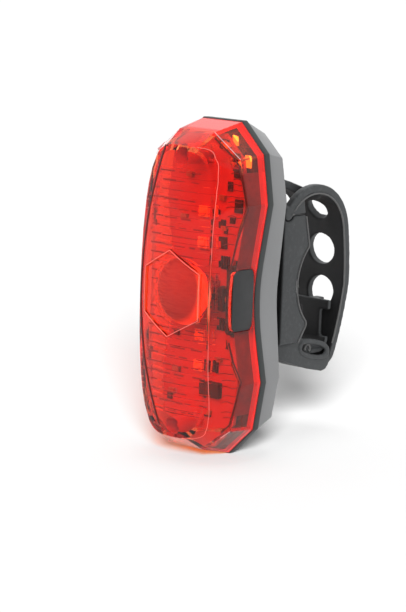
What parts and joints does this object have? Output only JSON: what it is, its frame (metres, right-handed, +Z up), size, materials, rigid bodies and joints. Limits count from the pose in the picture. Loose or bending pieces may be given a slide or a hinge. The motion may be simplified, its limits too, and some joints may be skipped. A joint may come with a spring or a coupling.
{
  "type": "bicycle rear light",
  "caption": "Waisted bicycle rear light with a faceted clear red lens, side push button, grey back shell and a perforated rubber strap that hooks round a tube.",
  "frame": {"origin": "centre of the seal's flat bottom, at the middle of the seal's thickness", "axes": "+Z up along the light, -Y the way the light shines, +X towards the push button"},
  "size_m": [0.0328, 0.065, 0.0866],
  "materials": {
    "lens": "clear red, moulded, polished",
    "insert": "clear red, ribbed",
    "eye": "clear red, polished",
    "board": "laminate with solder mask",
    "led": "clear resin over a pale base",
    "chip": "moulded black",
    "chip_ends": "ceramic with tinned ends",
    "brass": "bright stamped",
    "switch": "moulded black",
    "plunger": "moulded white",
    "button": "moulded black rubber",
    "steel": "plated steel",
    "seal": "moulded black rubber",
    "housing": "silver grey satin",
    "tray": "moulded black",
    "cell": "printed sleeve",
    "bracket": "moulded black",
    "saddle": "matte black rubber",
    "hook": "moulded black",
    "strap": "matte black rubber"
  },
  "bodies": {
    "rear": {"seal": "seal", "housing": "housing", "battery_tray": "tray", "cell_right": "cell", "cell_left": "cell", "battery_springs": "steel", "positive_contact": "brass", "negative_contact": "brass", "series_bridge": "brass", "bracket": "bracket", "bracket_screws": "steel", "saddle": "saddle", "hook": "hook"},
    "front_module": {"lens": "lens", "prism_insert": "insert", "collimator": "eye", "circuit_board": "board", "centre_led": "led", "small_leds": "led", "driver_chip": "chip", "chip_parts": "chip_ends", "solder_tabs": "brass", "switch_body": "switch", "board_screws": "steel"},
    "push_button": {"button": "button", "switch_plunger": "plunger"},
    "strap_band": {"strap": "strap"}
  },
  "joints": [
    {"name": "front_pull_off", "type": "slide", "parent": "rear", "child": "front_module", "axis": [0, -1, 0], "range_m": [0, 0.03]},
    {"name": "button_press", "type": "slide", "parent": "front_module", "child": "push_button", "axis": [-1, 0, 0], "range_m": [0, 0.0008], "stiffness_N_per_m": 400},
    {"name": "strap_swing", "type": "hinge", "parent": "rear", "child": "strap_band", "pos_m": [0, 0.0187, 0.0614], "axis": [1, 0, 0], "range_deg": [0, 90], "stiffness_Nm_per_rad": 0.02}
  ]
}
